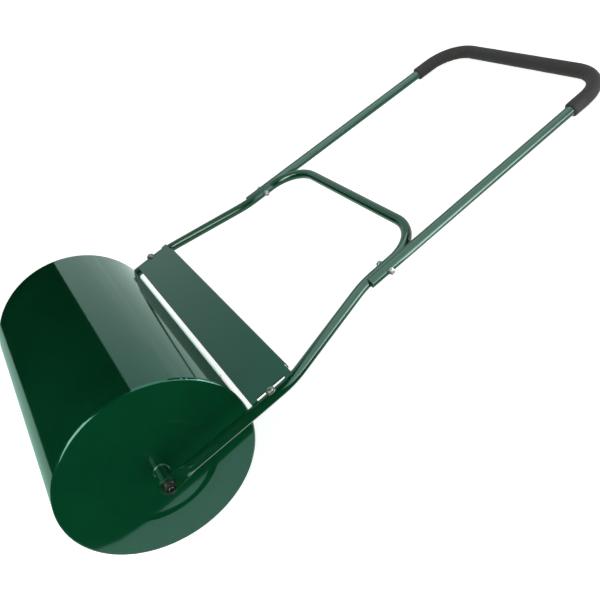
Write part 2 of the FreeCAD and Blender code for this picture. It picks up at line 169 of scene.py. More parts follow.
def green_paint(name, roughness, gloss_tint, waviness=0.0, soft_edges=0.0):
    """Stoved gloss enamel: deep green, faint orange peel, and the sheet's own slow waves."""
    material, shader = new_material(name)
    cloud = noise_at(material, scale=9.0, detail=3.0).outputs["Fac"]
    tones = [(0.30, PAINT_DARK), (0.72, PAINT_LIGHT)]
    link(material, colours_between(material, cloud, tones), shader, "Base Color")
    haze = noise_at(material, scale=40.0, detail=4.0).outputs["Fac"]
    link(material, value_between(material, haze, 0.8 * roughness, 1.25 * roughness), shader, "Roughness")
    shader.inputs["IOR"].default_value = 1.5
    shader.inputs["Specular Tint"].default_value = (*gloss_tint, 1)
    normal = None
    if soft_edges:
        rounded = add(material, "ShaderNodeBevel", {"Radius": soft_edges}, samples=6)
        normal = rounded.outputs["Normal"]
    peel = noise_at(material, scale=520.0, detail=1.5).outputs["Fac"]
    normal = bump(material, peel, distance=0.02 * MM, under=normal)
    if waviness:
        waves = noise_at(material, scale=11.0, detail=1.0, stretch=(0.35, 1, 1)).outputs["Fac"]
        normal = bump(material, waves, waviness, under=normal)
    link(material, normal, shader, "Normal")
    return material


def plated_steel(name, light, dark, shiny, dull):
    """Plated steel with fine scratches and a few dull patches."""
    material, shader = new_material(name)
    patches = noise_at(material, scale=160.0, detail=4.0).outputs["Fac"]
    link(material, colours_between(material, patches, [(0.25, dark), (0.75, light)]), shader, "Base Color")
    link(material, value_between(material, patches, dull, shiny), shader, "Roughness")
    shader.inputs["Metallic"].default_value = 1.0
    scratches = noise_at(material, scale=1800.0, detail=2.0, stretch=(1, 0.1, 1)).outputs["Fac"]
    link(material, bump(material, scratches, distance=0.01 * MM), shader, "Normal")
    return material


def moulded_plastic(name, colour, roughness):
    """Moulded plastic with a fine spark-eroded grain."""
    material, shader = new_material(name)
    cloud = noise_at(material, scale=60.0, detail=3.0).outputs["Fac"]
    darker = tuple(channel * 0.75 for channel in colour)
    link(material, colours_between(material, cloud, [(0.3, darker), (0.7, colour)]), shader, "Base Color")
    link(material, value_between(material, cloud, roughness * 0.85, roughness * 1.15), shader, "Roughness")
    grain = noise_at(material, scale=1500.0, detail=2.0).outputs["Fac"]
    link(material, bump(material, grain, distance=0.03 * MM), shader, "Normal")
    return material


def grip_foam(name):
    """Closed-cell foam rubber: charcoal, matt, with fine open pores in its skin."""
    material, shader = new_material(name)
    cloud = noise_at(material, scale=45.0, detail=5.0, roughness=0.6).outputs["Fac"]
    tones = [(0.3, (0.0110, 0.0110, 0.0115)), (0.7, (0.0205, 0.0205, 0.0210))]
    link(material, colours_between(material, cloud, tones), shader, "Base Color")
    link(material, value_between(material, cloud, low=0.72, high=0.9), shader, "Roughness")
    shader.inputs["Specular IOR Level"].default_value = 0.3
    shader.inputs["Sheen Weight"].default_value = 0.05
    shader.inputs["Sheen Roughness"].default_value = 0.5
    place = add(material, "ShaderNodeTexCoord").outputs["Object"]
    cells = add(material, "ShaderNodeTexVoronoi", {"Vector": place, "Scale": 900.0})
    normal = bump(material, cells.outputs["Distance"], distance=0.18 * MM)
    dents = noise_at(material, scale=260.0, detail=3.0).outputs["Fac"]
    link(material, bump(material, dents, distance=0.25 * MM, under=normal), shader, "Normal")
    return material


drum_paint = green_paint("drum_paint", 0.07, SHEET_GLOSS, waviness=0.25 * MM)
frame_paint = green_paint("frame_paint", 0.13, TUBE_GLOSS, soft_edges=0.7 * MM)
scraper_paint = green_paint("scraper_paint", 0.09, SHEET_GLOSS, waviness=0.15 * MM, soft_edges=0.5 * MM)
zinc = plated_steel("zinc_steel", light=(0.28, 0.31, 0.295), dark=(0.18, 0.205, 0.195),
                    shiny=0.30, dull=0.45)
dull_steel = plated_steel("dull_steel", light=(0.19, 0.225, 0.205), dark=(0.11, 0.13, 0.12),
                          shiny=0.36, dull=0.52)
dark_steel = plated_steel("dark_steel", light=(0.060, 0.080, 0.073), dark=(0.026, 0.036, 0.032),
                          shiny=0.28, dull=0.42)
nylon = moulded_plastic("bush_nylon", colour=(0.020, 0.020, 0.020), roughness=0.40)
plug_plastic = moulded_plastic("plug_plastic", colour=(0.020, 0.020, 0.021), roughness=0.42)
seal_rubber = moulded_plastic("seal_rubber", colour=(0.015, 0.015, 0.015), roughness=0.75)
foam = grip_foam("grip_foam")


def finish_nodes():
    """Give every CAD node that stays in view its own procedural material."""
    finishes = {
        drum_paint: ("drum_shell", "drum_end_right", "drum_end_left", "axle_tube", "filler_neck"),
        frame_paint: ("lower_frame", "handle_tube"),
        scraper_paint: ("scraper_plate",),
        zinc: ("thrust_washers",),
        dull_steel: ("scraper_inserts",),
        seal_rubber: ("plug_seal",),
    }
    for material, names in finishes.items():
        for name in names:
            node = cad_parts[name]
            node.data.materials.clear()
            node.data.materials.append(material)


# ---- mesh helpers ----
class Shape:
    """Vertices and faces of one piece, gathered in roller coordinates."""

    def __init__(self):
        self.vertices = []
        self.faces = []

    def skin(self, rings, closed=False, capped=False):
        """Join equal rings of points; closed joins the last to the first, capped fills both."""
        start, around, count = len(self.vertices), len(rings[0]), len(rings)
        for ring in rings:
            self.vertices.extend(ring)
        for row in range(count if closed else count - 1):
            low = start + row * around
            high = start + (row + 1) % count * around
            for k in range(around):
                after = (k + 1) % around
                self.faces.append((low + k, low + after, high + after, high + k))
        if capped:
            last = start + (count - 1) * around
            self.faces.append(tuple(start + k for k in range(around)))
            self.faces.append(tuple(last + k for k in reversed(range(around))))

    def piece(self, name, body, material, slot, replaces=None, place=ROLLER, sharp=32):
        """Make the piece, put it in place, finish it and let it ride on a body."""
        mesh = bpy.data.meshes.new(name)
        mesh.from_pydata([place @ Vector(vertex) for vertex in self.vertices], [], self.faces)
        mesh.validate()
        built = bmesh.new()
        built.from_mesh(mesh)
        bmesh.ops.recalc_face_normals(built, faces=built.faces)
        built.to_mesh(mesh)
        built.free()
        mesh.polygons.foreach_set("use_smooth", [True] * len(mesh.polygons))
        mesh.set_sharp_from_angle(angle=math.radians(sharp))
        mesh.materials.append(material)
        made = bpy.data.objects.new(name, mesh)
        bpy.context.scene.collection.objects.link(made)
        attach(made, body)
        if replaces:
            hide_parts(replaces)
        return made


def standing(position, axis):
    """A placement that stands local z along an axis."""
    return Matrix.Translation(position) @ Vector(axis).to_track_quat("Z", "Y").to_matrix().to_4x4()


def turns(around):
    """The angles of that many equal steps round a circle."""
    return [2 * math.pi * k / around for k in range(around)]


def turned(place, profile, around=60):
    """Rings of a turned piece; a profile entry is (radius, height), either may depend on the turn."""
    rings = []
    for radius, height in profile:
        ring = []
        for angle in turns(around):
            r = radius(angle) if callable(radius) else radius
            z = height(angle) if callable(height) else height
            ring.append(place @ Vector((r * math.cos(angle), r * math.sin(angle), z)))
        rings.append(ring)
    return rings


def smooth_step(low, high, value):
    """Rise smoothly from 0 at low to 1 at high, which may be the smaller of the two."""
    share = min(1.0, max(0.0, (value - low) / (high - low)))
    return share * share * (3 - 2 * share)


HEX_FACE = 0.96
HEX_CHAMFER = math.radians(30)


def hex_profile(across_flats, height, both_ends):
    """The outside of a hexagon with its corners turned off round its face."""
    flat_r = across_flats / 2
    top_r = HEX_FACE * flat_r
    slope = math.tan(HEX_CHAMFER)

    def side_r(angle):
        return flat_r / math.cos(angle % (math.pi / 3) - math.pi / 6)

    def drop(angle):
        return (side_r(angle) - top_r) * slope
    top = [(side_r, lambda angle: height - drop(angle)), (top_r, height)]
    if both_ends:
        return [(top_r, 0.0), (side_r, drop)] + top
    return [(side_r, 0.0)] + top


# Every thread's depth and the length that it fades over are in pitches; its flat crest and its
# flank are shares of half a pitch.
THREAD_ROWS = 8
THREAD_DEPTH = 0.55
THREAD_FADE = 0.6
THREAD_CREST = 0.125
THREAD_FLANK = 0.6


def thread_profile(major_r, pitch, start, end):
    """Rows of a threaded rod from one height to another; it narrows to the root at both ends."""
    step = pitch / THREAD_ROWS if end > start else -pitch / THREAD_ROWS
    count = round((end - start) / step)
    rows = []
    for i in range(count + 1):
        height = start + step * i
        fade = min(1.0, i * abs(step) / pitch, (count - i) * abs(step) / (THREAD_FADE * pitch))

        def radius(angle, height=height, fade=fade):
            phase = (height / pitch - angle / (2 * math.pi)) % 1.0
            from_crest = 2 * min(phase, 1 - phase)
            depth = min(1.0, max(0.0, (from_crest - THREAD_CREST) / THREAD_FLANK))
            return major_r - THREAD_DEPTH * pitch * max(depth * fade, 1 - fade)
        rows.append((radius, height))
    return rows


def washer_profile(bore_r, outer_r, thickness, edge):
    """A washer with a rounded rim and a broken edge at its bore, as a closed loop."""
    lead, nick = 0.6 * edge, 0.3 * edge
    return [(bore_r, lead), (bore_r + lead, 0.0), (outer_r - edge, 0.0), (outer_r, edge),
            (outer_r, thickness - edge), (outer_r - nick, thickness - nick), (outer_r - edge, thickness),
            (bore_r + lead, thickness), (bore_r, thickness - lead)]


NUT_LEAD = 0.45 * MM


def nut_profile(bore_r, across_flats, height):
    """A nut chamfered at both ends and countersunk at its bore, as a closed loop."""
    return ([(bore_r, NUT_LEAD), (bore_r + NUT_LEAD, 0.0)] + hex_profile(across_flats, height, True)
            + [(bore_r + NUT_LEAD, height), (bore_r, height - NUT_LEAD)])


def mirrored(side, point):
    """A point of the right side (1) or its mirror image on the left (-1)."""
    return Vector((side * point[0], point[1], point[2]))


# ---- handle and scraper fasteners ----
SIDES = (1, -1)
M6_R = 3.0 * MM
M6_HOLE_R = 3.2 * MM
M6_FLATS = 10.0 * MM
M6_HEAD = 4.0 * MM
M6_NUT = 5.0 * MM
M6_PITCH = 1.0 * MM
M6_TAIL = 7.5 * MM
M6_THREADED = 12.0 * MM
M6_FILLET = 0.4 * MM
HANDLE_WASHER = 1.6 * MM
HANDLE_WASHER_R = 6.0 * MM
HEX_AROUND = 72
head_x = HANDLE_X + TUBE_R + 2 * AIR
nut_x = FRAME_BOLT_X - TUBE_R - 2 * AIR


def hex_bolt(shape, place, length, threaded):
    """A hexagon bolt with a fillet under its head and a cut thread at its end."""
    head = list(reversed(hex_profile(M6_FLATS, M6_HEAD, False)))
    shank = [(M6_R + M6_FILLET, 0.0), (M6_R, -M6_FILLET), (M6_R, threaded - length)]
    thread = thread_profile(M6_R, M6_PITCH, threaded - length, -length)
    shape.skin(turned(place, [(0.55 * M6_R, M6_HEAD)] + head + shank + thread, HEX_AROUND), capped=True)


def handle_fasteners():
    """Bolts, washers and nuts that hold the push handle to the frame."""
    bolts, washers, nuts = Shape(), Shape(), Shape()
    length = head_x - nut_x + 2 * HANDLE_WASHER + M6_TAIL
    for side in SIDES:
        outward = RIGHT * side
        at = mirrored(side, (head_x + HANDLE_WASHER, HANDLE_BOLT_Y, 0))
        hex_bolt(bolts, standing(at, outward), length, M6_THREADED)
        nut_at = mirrored(side, (nut_x - HANDLE_WASHER, HANDLE_BOLT_Y, 0))
        nuts.skin(turned(standing(nut_at, -outward), nut_profile(M6_R + AIR, M6_FLATS, M6_NUT), HEX_AROUND),
                  closed=True)
        ring = washer_profile(M6_HOLE_R, HANDLE_WASHER_R, HANDLE_WASHER, edge=0.35 * MM)
        for x, axis in ((head_x, outward), (nut_x, -outward)):
            at = mirrored(side, (x, HANDLE_BOLT_Y, 0))
            washers.skin(turned(standing(at, axis), ring), closed=True)
    bolts.piece("handle_bolt_set", "frame", zinc, "zinc_steel", "handle_bolts")
    washers.piece("handle_washer_set", "frame", zinc, "zinc_steel", "handle_washers")
    nuts.piece("handle_nut_set", "frame", zinc, "zinc_steel", "handle_nuts")


PAN_R = 5.6 * MM
PAN_HEIGHT = 3.6 * MM
PAN_ROUND = 1.8 * MM
PAN_DOME = 0.25 * MM
PAN_SHOULDER = PAN_HEIGHT - 0.12 * MM
PAN_EDGE = 0.15 * MM
PAN_AROUND = 96
PAN_MIDDLE = 0.1 * MM
PAN_STEP = 0.18 * MM
PAN_STEPS = 20
PAN_CURVE_STEPS = 6
SCREW_LENGTH = 14.0 * MM
SCREW_POINT = (0.7 * MM, 1.0 * MM)
SCREW_TURNS = {1: math.radians(25), -1: math.radians(-12)}
SCRAPER_WASHER = 1.2 * MM
SCRAPER_WASHER_R = 8.0 * MM
# The cross recess: how far from its middle each of its walls starts at the top and ends below.
RECESS_DEPTH = 1.7 * MM
RECESS_ARM = (0.75 * MM, 0.45 * MM)
RECESS_REACH = (3.0 * MM, 2.0 * MM)
RECESS_MIDDLE = (1.5 * MM, 0.6 * MM)


def cross_recess(x, y):
    """Depth of a cross recess at a point of a screw head."""
    arm = smooth_step(*RECESS_ARM, min(abs(x), abs(y)))
    reach = smooth_step(*RECESS_REACH, max(abs(x), abs(y)))
    return RECESS_DEPTH * max(arm * reach, smooth_step(*RECESS_MIDDLE, math.hypot(x, y)))


def pan_head_rings(place, around):
    """A pan-head screw from the middle of its head to its point."""
    flat_r = PAN_R - PAN_ROUND
    rings = []
    for i in range(PAN_STEPS + 1):
        r = PAN_MIDDLE + PAN_STEP * i
        dome = PAN_DOME * (r / PAN_R) ** 2
        ring = []
        for angle in turns(around):
            x, y = r * math.cos(angle), r * math.sin(angle)
            ring.append(place @ Vector((x, y, PAN_HEIGHT - dome - cross_recess(x, y))))
        rings.append(ring)
    edge = []
    for i in range(1, PAN_CURVE_STEPS + 1):
        sweep = math.pi / 2 * i / PAN_CURVE_STEPS
        height = PAN_SHOULDER - (PAN_ROUND - PAN_HEIGHT + PAN_SHOULDER) * (1 - math.cos(sweep))
        edge.append((flat_r + PAN_ROUND * math.sin(sweep), height))
    narrowing, point_length = SCREW_POINT
    edge += [(PAN_R, PAN_EDGE), (PAN_R - PAN_EDGE, 0.0), (M6_R, 0.0), (M6_R, point_length - SCREW_LENGTH),
             (M6_R - narrowing, -SCREW_LENGTH)]
    return rings + turned(place, edge, around)


def scraper_fasteners():
    """Pan-head screws and wide washers that hold the scraper's tongues to the legs."""
    screws, washers = Shape(), Shape()
    ring = washer_profile(M6_HOLE_R, SCRAPER_WASHER_R, SCRAPER_WASHER, edge=0.4 * MM)
    for side in SIDES:
        under = mirrored(side, (LEG_X, SCRAPER_SCREW_Y, SCRAPER_TOP))
        turn = Matrix.Rotation(SCREW_TURNS[side], 4, "Z")
        head_at = standing(under + UP * SCRAPER_WASHER, UP) @ turn
        screws.skin(pan_head_rings(head_at, PAN_AROUND), capped=True)
        washers.skin(turned(standing(under, UP), ring), closed=True)
    screws.piece("scraper_screw_set", "frame", dull_steel, "dull_steel", "scraper_screws")
    washers.piece("scraper_washer_set", "frame", dull_steel, "dull_steel", "scraper_washers")


# ---- axle ----
AXLE_R = 6.0 * MM
STUB_R = 5.0 * MM
STUB_HOLE_R = 5.3 * MM
AXLE_END = 297.0 * MM
M10_PITCH = 1.5 * MM
STUB_CHAMFER = 0.5 * MM
OUTER_WASHER = 1.8 * MM
OUTER_WASHER_R = 10.5 * MM
LOCK_WASHER = 2.2 * MM
LOCK_R = 8.8 * MM
LOCK_RISE = 0.3 * MM
LOCK_CORNER = 0.3 * MM
LOCK_GAP = math.radians(16)
LOCK_STEPS = 66
M10_NUT = 6.5 * MM
M10_FLATS = 16.0 * MM
M10_TURN = math.radians(13)


def lock_ring(shape, place):
    """A split spring washer: its two ends stand a little apart along its axis."""
    thick = LOCK_WASHER - LOCK_RISE
    corners = [(STUB_HOLE_R, 0.0), (LOCK_R, 0.0), (LOCK_R, thick), (STUB_HOLE_R, thick)]
    middle_r = (STUB_HOLE_R + LOCK_R) / 2
    section = []
    for r, z in corners:
        inward_r = LOCK_CORNER if r < middle_r else -LOCK_CORNER
        inward_z = LOCK_CORNER if z < LOCK_WASHER / 2 else -LOCK_CORNER
        first, second = (r, z + inward_z), (r + inward_r, z)
        section += [first, second] if (r < middle_r) == (z < LOCK_WASHER / 2) else [second, first]
    rings = []
    for i in range(LOCK_STEPS + 1):
        angle = LOCK_GAP / 2 + (2 * math.pi - LOCK_GAP) * i / LOCK_STEPS
        rise = LOCK_RISE * i / LOCK_STEPS
        rings.append([place @ Vector((r * math.cos(angle), r * math.sin(angle), z + rise))
                      for r, z in section])
    shape.skin(rings, capped=True)


def axle_fittings():
    """The axle rod with its threaded ends, and the washers and nuts outside the legs."""
    rod, washers, locks, nuts = Shape(), Shape(), Shape(), Shape()
    shoulder = LEG_INNER - AIR
    half = [(AXLE_R, 0.0), (AXLE_R, shoulder - STUB_CHAMFER), (AXLE_R - STUB_CHAMFER, shoulder),
            (STUB_R, shoulder)]
    half += thread_profile(STUB_R, M10_PITCH, LEG_OUTER, AXLE_END)
    profile = [(r, -z) for r, z in reversed(half)] + half[1:]
    rod.skin(turned(standing((0, 0, 0), RIGHT), profile, HEX_AROUND), capped=True)
    for side in SIDES:
        outward = RIGHT * side
        at = outward * LEG_OUTER
        ring = washer_profile(STUB_HOLE_R, OUTER_WASHER_R, OUTER_WASHER, edge=0.45 * MM)
        washers.skin(turned(standing(at, outward), ring), closed=True)
        at = at + outward * OUTER_WASHER
        lock_ring(locks, standing(at, outward))
        at = at + outward * LOCK_WASHER
        turn = Matrix.Rotation(M10_TURN, 4, "Z")
        nuts.skin(turned(standing(at, outward) @ turn, nut_profile(STUB_R + AIR, M10_FLATS, M10_NUT),
                         HEX_AROUND), closed=True)
    rod.piece("axle_rod_threaded", "frame", dark_steel, "dark_steel", "axle_rod")
    washers.piece("axle_washer_set", "frame", dark_steel, "dark_steel", "axle_washers")
    locks.piece("axle_lock_washer_set", "frame", dark_steel, "dark_steel", "axle_lock_washers")
    nuts.piece("axle_nut_set", "frame", dark_steel, "dark_steel", "axle_nuts")


BUSH_R = 9.0 * MM
BUSH_BORE_R = 6.08 * MM
BUSH_FLANGE_R = 12.5 * MM
BUSH_FLANGE = 2.0 * MM
BUSH_LENGTH = 25.0 * MM
BUSH_EDGE = 0.6 * MM


def bushes():
    """Flanged nylon bushes with rounded edges, one in each end of the axle tube."""
    edge, nick = BUSH_EDGE, 0.3 * BUSH_EDGE
    profile = [(BUSH_BORE_R, -BUSH_LENGTH), (BUSH_R - edge, -BUSH_LENGTH), (BUSH_R, edge - BUSH_LENGTH),
               (BUSH_R, 0.0), (BUSH_FLANGE_R, 0.0), (BUSH_FLANGE_R, BUSH_FLANGE - edge),
               (BUSH_FLANGE_R - nick, BUSH_FLANGE - nick), (BUSH_FLANGE_R - edge, BUSH_FLANGE),
               (BUSH_BORE_R + edge, BUSH_FLANGE), (BUSH_BORE_R, BUSH_FLANGE - edge)]
    for side, name in ((1, "right"), (-1, "left")):
        shape = Shape()
        shape.skin(turned(standing(RIGHT * side * AXLE_TUBE_END, RIGHT * side), profile), closed=True)
        shape.piece("bush_moulded_" + name, "drum", nylon, "bush_nylon", "bush_" + name)


# ---- welds ----
# Every bead is rooted a little below the surface that it lies on.
BEAD_ROOT = 0.3 * MM
RIPPLE_DEPTH = 0.20
RIPPLE_WANDER = 0.12
RIPPLE_WANDERS = 160.0
FILLET_AROUND = 180
FILLET_SWEEP = 7
FILLET_BULGE = 0.16
HUB_BEAD = 2.6 * MM
NECK_BEAD = 1.3 * MM
FILLET_RIPPLE = 1.9 * MM
SEAM_ANGLE = math.radians(214)
SEAM_WIDTH = 4.2 * MM
SEAM_HEIGHT = 0.45 * MM
SEAM_RIPPLE = 2.4 * MM
SEAM_WANDER = 0.25 * MM
SEAM_WANDERS = 22.0
SEAM_SUNK = 0.02 * MM
SEAM_STEPS = 900


def bead_section(width, height, points=7):
    """A low rounded hump: (across, up) points from one toe to the other."""
    hump = []
    for i in range(points):
        share = i / (points - 1)
        hump.append((width * (share - 0.5), height * math.sin(math.pi * share) ** 0.8))
    return hump + [(width / 2, -BEAD_ROOT), (-width / 2, -BEAD_ROOT)]


def ripple(along, pitch, seed):
    """The stacked scales of a weld bead: 1 at a crest, a little less between."""
    phase = (along / pitch) % 1.0
    wander = RIPPLE_WANDER * noise.noise(Vector((along * RIPPLE_WANDERS, seed, 0.0)))
    return 1 - RIPPLE_DEPTH + RIPPLE_DEPTH * math.sin(math.pi * phase) ** 0.6 + wander


def fillet_weld(shape, place, radius, leg, seed):
    """A weld bead in the corner between a tube of that radius and the face that it stands on."""
    rings = []
    for angle in turns(FILLET_AROUND):
        size = leg * ripple(angle * radius, FILLET_RIPPLE, seed)
        section = [(radius - BEAD_ROOT, -BEAD_ROOT), (radius - BEAD_ROOT, size)]
        for i in range(FILLET_SWEEP):
            sweep = math.pi / 2 * i / (FILLET_SWEEP - 1)
            bulge = 1.0 + FILLET_BULGE * math.sin(2 * sweep)
            section.append((radius + size * (1 - math.cos(sweep)) * bulge,
                            size * (1 - math.sin(sweep)) * bulge))
        section.append((radius + size, -BEAD_ROOT))
        rings.append([place @ Vector((r * math.cos(angle), r * math.sin(angle), z)) for r, z in section])
    shape.skin(rings, closed=True)


def seam_rings():
    """The bead along the drum, where the rolled sheet's edges meet."""
    outward = Vector((0, math.cos(SEAM_ANGLE), math.sin(SEAM_ANGLE)))
    sideways = Vector((0, -math.sin(SEAM_ANGLE), math.cos(SEAM_ANGLE)))
    half = DRUM_END - RIM_R - 0.5 * MM
    rings = []
    for i in range(SEAM_STEPS + 1):
        x = -half + 2 * half * i / SEAM_STEPS
        size = ripple(x, SEAM_RIPPLE, seed=21.0)
        wander = SEAM_WANDER * noise.noise(Vector((x * SEAM_WANDERS, 5.0, 0.0)))
        rings.append([Vector((x, 0, 0)) + outward * (DRUM_R - SEAM_SUNK + up * size)
                      + sideways * (across * size + wander)
                      for across, up in bead_section(SEAM_WIDTH, SEAM_HEIGHT)])
    return rings


def welds():
    """Beads round the axle tube and the filler neck, and along the drum's seam."""
    hub, neck, seam = Shape(), Shape(), Shape()
    for side in SIDES:
        at = RIGHT * side * (DRUM_END - DISH_DEPTH)
        fillet_weld(hub, standing(at, RIGHT * side), AXLE_TUBE_R, HUB_BEAD, seed=3.0 + side)
    fillet_weld(neck, standing(FILLER - RIGHT * DRUM_END, -RIGHT), NECK_R, NECK_BEAD, seed=9.0)
    seam.skin(seam_rings(), capped=True)
    hub.piece("axle_tube_welds", "drum", drum_paint, "drum_paint")
    neck.piece("filler_neck_weld", "drum", drum_paint, "drum_paint")
    seam.piece("drum_seam_weld", "drum", drum_paint, "drum_paint")


# ---- filler plug ----
PLUG_R = 23.5 * MM
PLUG_FLANGE = 5.0 * MM
PLUG_BAR = 4.0 * MM
PLUG_BAR_HALF_WIDTH = 3.5 * MM
PLUG_BAR_HALF_LENGTH = 18.0 * MM
PLUG_STUB_R = 17.7 * MM
PLUG_HOLLOW_R = 14.5 * MM
PLUG_STUB_END = -14.8 * MM
PLUG_PITCH = 3.0 * MM
PLUG_AROUND = 192
PLUG_ROWS = 56
PLUG_MIDDLE = 0.25 * MM
PLUG_CEILING = 2.5 * MM
PLUG_DISH = 0.6 * MM
# Where the shallow dish starts and reaches its depth, at its inside and at its outside.
DISH_INSIDE = (2.0 * MM, 5.0 * MM)
DISH_OUTSIDE = (20.6 * MM, 19.6 * MM)
BAR_SIDE = 1.6 * MM
BAR_RAMP = 2.4 * MM
GROOVES = 48
GROOVE_DEPTH = 0.30 * MM


def plug_top(place, r):
    """One ring of the plug's outer face: a rounded finger bar across a shallow dish."""
    ring = []
    for angle in turns(PLUG_AROUND):
        x, y = r * math.cos(angle), r * math.sin(angle)
        bar = smooth_step(PLUG_BAR_HALF_WIDTH, PLUG_BAR_HALF_WIDTH - BAR_SIDE, abs(x))
        bar *= smooth_step(PLUG_BAR_HALF_LENGTH, PLUG_BAR_HALF_LENGTH - BAR_RAMP, abs(y))
        dish = PLUG_DISH * smooth_step(*DISH_INSIDE, r) * smooth_step(*DISH_OUTSIDE, r)
        ring.append(place @ Vector((x, y, PLUG_FLANGE - dish + bar * (PLUG_BAR + dish))))
    return ring


def filler_plug():
    """The screw-in plug: milled rim, finger bar, threaded hollow stub."""
    place = standing(FILLER + RIGHT * PLUG_FACE, -RIGHT)
    top_width = PLUG_R - 1.0 * MM - PLUG_MIDDLE
    rings = [plug_top(place, PLUG_MIDDLE + top_width * i / PLUG_ROWS) for i in range(PLUG_ROWS + 1)]

    def milled(depth):
        """The radius of the grooved rim, as a function of the turn."""
        return lambda angle: (PLUG_R - depth
                              - GROOVE_DEPTH * (0.5 - 0.5 * math.cos(GROOVES * angle)) ** 0.7)
    rim = [(milled(0.35 * MM), PLUG_FLANGE - 0.3 * MM), (milled(0.0), PLUG_FLANGE - 1.0 * MM),
           (milled(0.0), 0.5 * MM), (PLUG_R - 0.6 * MM, 0.0), (PLUG_STUB_R, 0.0)]
    stub = thread_profile(PLUG_STUB_R, PLUG_PITCH, -2.4 * MM, PLUG_STUB_END + 0.4 * MM)
    inside = [(PLUG_STUB_R - 1.6 * MM, PLUG_STUB_END), (PLUG_HOLLOW_R + 0.4 * MM, PLUG_STUB_END),
              (PLUG_HOLLOW_R, PLUG_STUB_END + 0.4 * MM), (PLUG_HOLLOW_R, PLUG_CEILING - 0.5 * MM),
              (PLUG_HOLLOW_R - 0.5 * MM, PLUG_CEILING), (PLUG_MIDDLE, PLUG_CEILING)]
    shape = Shape()
    shape.skin(rings + turned(place, rim + stub + inside, PLUG_AROUND), capped=True)
    shape.piece("filler_plug_moulded", "filler_plug", plug_plastic, "plug_plastic", "filler_plug")


# ---- foam grip ----
FOAM_AROUND = 72
FOAM_STEP = 2.0 * MM
FOAM_END_ROUND = 2.6 * MM
# The outside of a bend is pulled a little thinner, and the skin has slow and fine unevenness.
FOAM_STRETCH = 0.5 * MM
FOAM_SLOW = (0.45 * MM, 30.0)
FOAM_FINE = (0.15 * MM, 210.0)
# The creases keep off both ends of a bend; the ranges are in millimetres.
FOLD_START = 8 * MM
FOLD_END = 6 * MM
FOLD_SPACING = (11, 19)
FOLD_WIDTH = (1.6, 2.6)
FOLD_DEPTH = (0.7, 1.7)


def bent_path(corners, bend_r, step):
    """Stations (point, direction, inward) along runs joined by tangent arcs."""
    stations = []
    start = corners[0]

    def run_to(end):
        direction = (end - start).normalized()
        count = max(2, round((end - start).length / step))
        for i in range(count):
            stations.append((start.lerp(end, i / count), direction, None))

    for before, corner, after in zip(corners, corners[1:], corners[2:]):
        into, out = (corner - before).normalized(), (after - corner).normalized()
        turn = into.angle(out)
        setback = bend_r * math.tan(turn / 2)
        arc_start = corner - into * setback
        run_to(arc_start)
        side = 1 if into.cross(out).z > 0 else -1
        inward = UP.cross(into) * side
        centre = arc_start + inward * bend_r
        count = max(4, round(bend_r * turn / step))
        for i in range(count):
            swing = Matrix.Rotation(side * turn * i / count, 3, UP)
            stations.append((centre - swing @ inward * bend_r, swing @ into, swing @ inward))
        start = corner + out * setback
    run_to(corners[-1])
    stations.append((corners[-1], (corners[-1] - start).normalized(), None))
    return stations


def bend_folds(stations, lengths):
    """Creases (place, width, depth) across the inside of the two bends."""
    bends = [along for along, station in zip(lengths, stations) if station[2] is not None]
    half = lengths[-1] / 2
    first = [along for along in bends if along < half]
    second = [along for along in bends if along > half]
    chance = random.Random(7)
    folds = []
    for low, high in ((min(first), max(first)), (min(second), max(second))):
        place = low + FOLD_START
        while place < high - FOLD_END:
            folds.append((place, chance.uniform(*FOLD_WIDTH) * MM, chance.uniform(*FOLD_DEPTH) * MM))
            place += chance.uniform(*FOLD_SPACING) * MM
    return folds


def uneven(where, depth, scale):
    """How far the foam's skin lies below its full size at a point."""
    return depth * (0.5 + 0.5 * noise.noise(where * scale))


def foam_grip():
    """A foam tube pushed over the handle: soft ends, folds inside its bends, slightly uneven."""
    start_x = HANDLE_X - HANDLE_TAPER * (GRIP_START_Y - HANDLE_BOLT_Y)
    corner_x = HANDLE_X - HANDLE_TAPER * (GRIP_Y - HANDLE_BOLT_Y)
    corners = [Vector((start_x, GRIP_START_Y, 0)), Vector((corner_x, GRIP_Y, 0)),
               Vector((-corner_x, GRIP_Y, 0)), Vector((-start_x, GRIP_START_Y, 0))]
    stations = bent_path(corners, HANDLE_BEND_R, FOAM_STEP)
    lengths = [0.0]
    for (a, *_), (b, *_) in zip(stations, stations[1:]):
        lengths.append(lengths[-1] + (b - a).length)
    folds = bend_folds(stations, lengths)
    outer, inner = [], []
    for (point, direction, inward), along in zip(stations, lengths):
        to_side = UP.cross(direction)
        short = max(0.0, FOAM_END_ROUND - min(along, lengths[-1] - along))
        lip = FOAM_END_ROUND - math.sqrt(FOAM_END_ROUND ** 2 - short ** 2)
        crease = sum(depth * math.exp(-((along - place) / width) ** 2) for place, width, depth in folds)
        ring, bore = [], []
        for angle in turns(FOAM_AROUND):
            out = to_side * math.cos(angle) + UP * math.sin(angle)
            radius = GRIP_R - lip
            if inward is not None:
                facing = out.dot(inward)
                radius -= crease * max(0.0, facing) ** 1.4 + FOAM_STRETCH * max(0.0, -facing)
            where = point + out * GRIP_R
            radius -= uneven(where, *FOAM_SLOW) + uneven(where, *FOAM_FINE)
            ring.append(point + out * radius)
            bore.append(point + out * (TUBE_R + AIR / 2))
        outer.append(ring)
        inner.append(bore)
    shape = Shape()
    shape.skin(outer + list(reversed(inner)), closed=True)
    piece = shape.piece("foam_grip", "frame", foam, "grip_foam", "handle_grip", place=HANDLE, sharp=60)


finish_nodes()
handle_fasteners()
scraper_fasteners()
axle_fittings()
bushes()
welds()
filler_plug()
foam_grip()


